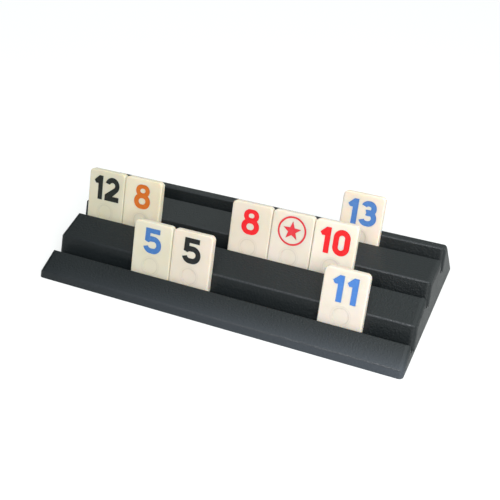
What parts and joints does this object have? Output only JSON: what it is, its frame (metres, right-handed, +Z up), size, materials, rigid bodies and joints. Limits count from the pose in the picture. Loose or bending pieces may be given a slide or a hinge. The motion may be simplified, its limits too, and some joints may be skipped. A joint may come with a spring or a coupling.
{
  "type": "three-row number tile rack with tiles",
  "caption": "Stepped dark rack with three leaning grooves and nine loose number tiles standing in them; each tile lifts out of its groove.",
  "frame": {"origin": "middle of the rack's foot rectangle, on the table", "axes": "+X along the rack to the right as seen from the front, +Y from the short front face to the back wall, +Z up"},
  "size_m": [0.231, 0.1154, 0.0526],
  "materials": {
    "rack_plastic": "fine matte moulded grain",
    "tile_ivory": "satin",
    "ink_black": "satin ink",
    "ink_orange": "satin ink",
    "ink_blue": "satin ink",
    "ink_red": "satin ink"
  },
  "bodies": {
    "rack": {"rack": "rack_plastic"},
    "tile_12_black": {"tile_12_black": "tile_ivory", "ink_12_black": "ink_black"},
    "tile_8_orange": {"tile_8_orange": "tile_ivory", "ink_8_orange": "ink_orange"},
    "tile_8_red": {"tile_8_red": "tile_ivory", "ink_8_red": "ink_red"},
    "tile_star_red": {"tile_star_red": "tile_ivory", "ink_star_red": "ink_red"},
    "tile_10_red": {"tile_10_red": "tile_ivory", "ink_10_red": "ink_red"},
    "tile_5_blue": {"tile_5_blue": "tile_ivory", "ink_5_blue": "ink_blue"},
    "tile_5_black": {"tile_5_black": "tile_ivory", "ink_5_black": "ink_black"},
    "tile_11_blue": {"tile_11_blue": "tile_ivory", "ink_11_blue": "ink_blue"},
    "tile_13_blue": {"tile_13_blue": "tile_ivory", "ink_13_blue": "ink_blue"}
  },
  "joints": [
    {"name": "lift_12_black", "type": "slide", "parent": "rack", "child": "tile_12_black", "axis": [0, 0.3173, 0.9483], "range_m": [0, 0.02]},
    {"name": "lift_8_orange", "type": "slide", "parent": "rack", "child": "tile_8_orange", "axis": [0, 0.3173, 0.9483], "range_m": [0, 0.02]},
    {"name": "lift_8_red", "type": "slide", "parent": "rack", "child": "tile_8_red", "axis": [0, 0.3173, 0.9483], "range_m": [0, 0.02]},
    {"name": "lift_star_red", "type": "slide", "parent": "rack", "child": "tile_star_red", "axis": [0, 0.3173, 0.9483], "range_m": [0, 0.02]},
    {"name": "lift_10_red", "type": "slide", "parent": "rack", "child": "tile_10_red", "axis": [0, 0.3173, 0.9483], "range_m": [0, 0.02]},
    {"name": "lift_5_blue", "type": "slide", "parent": "rack", "child": "tile_5_blue", "axis": [0, 0.3173, 0.9483], "range_m": [0, 0.02]},
    {"name": "lift_5_black", "type": "slide", "parent": "rack", "child": "tile_5_black", "axis": [0, 0.3173, 0.9483], "range_m": [0, 0.02]},
    {"name": "lift_11_blue", "type": "slide", "parent": "rack", "child": "tile_11_blue", "axis": [0, 0.3173, 0.9483], "range_m": [0, 0.02]},
    {"name": "lift_13_blue", "type": "slide", "parent": "rack", "child": "tile_13_blue", "axis": [0, 0.3173, 0.9483], "range_m": [0, 0.02]}
  ]
}
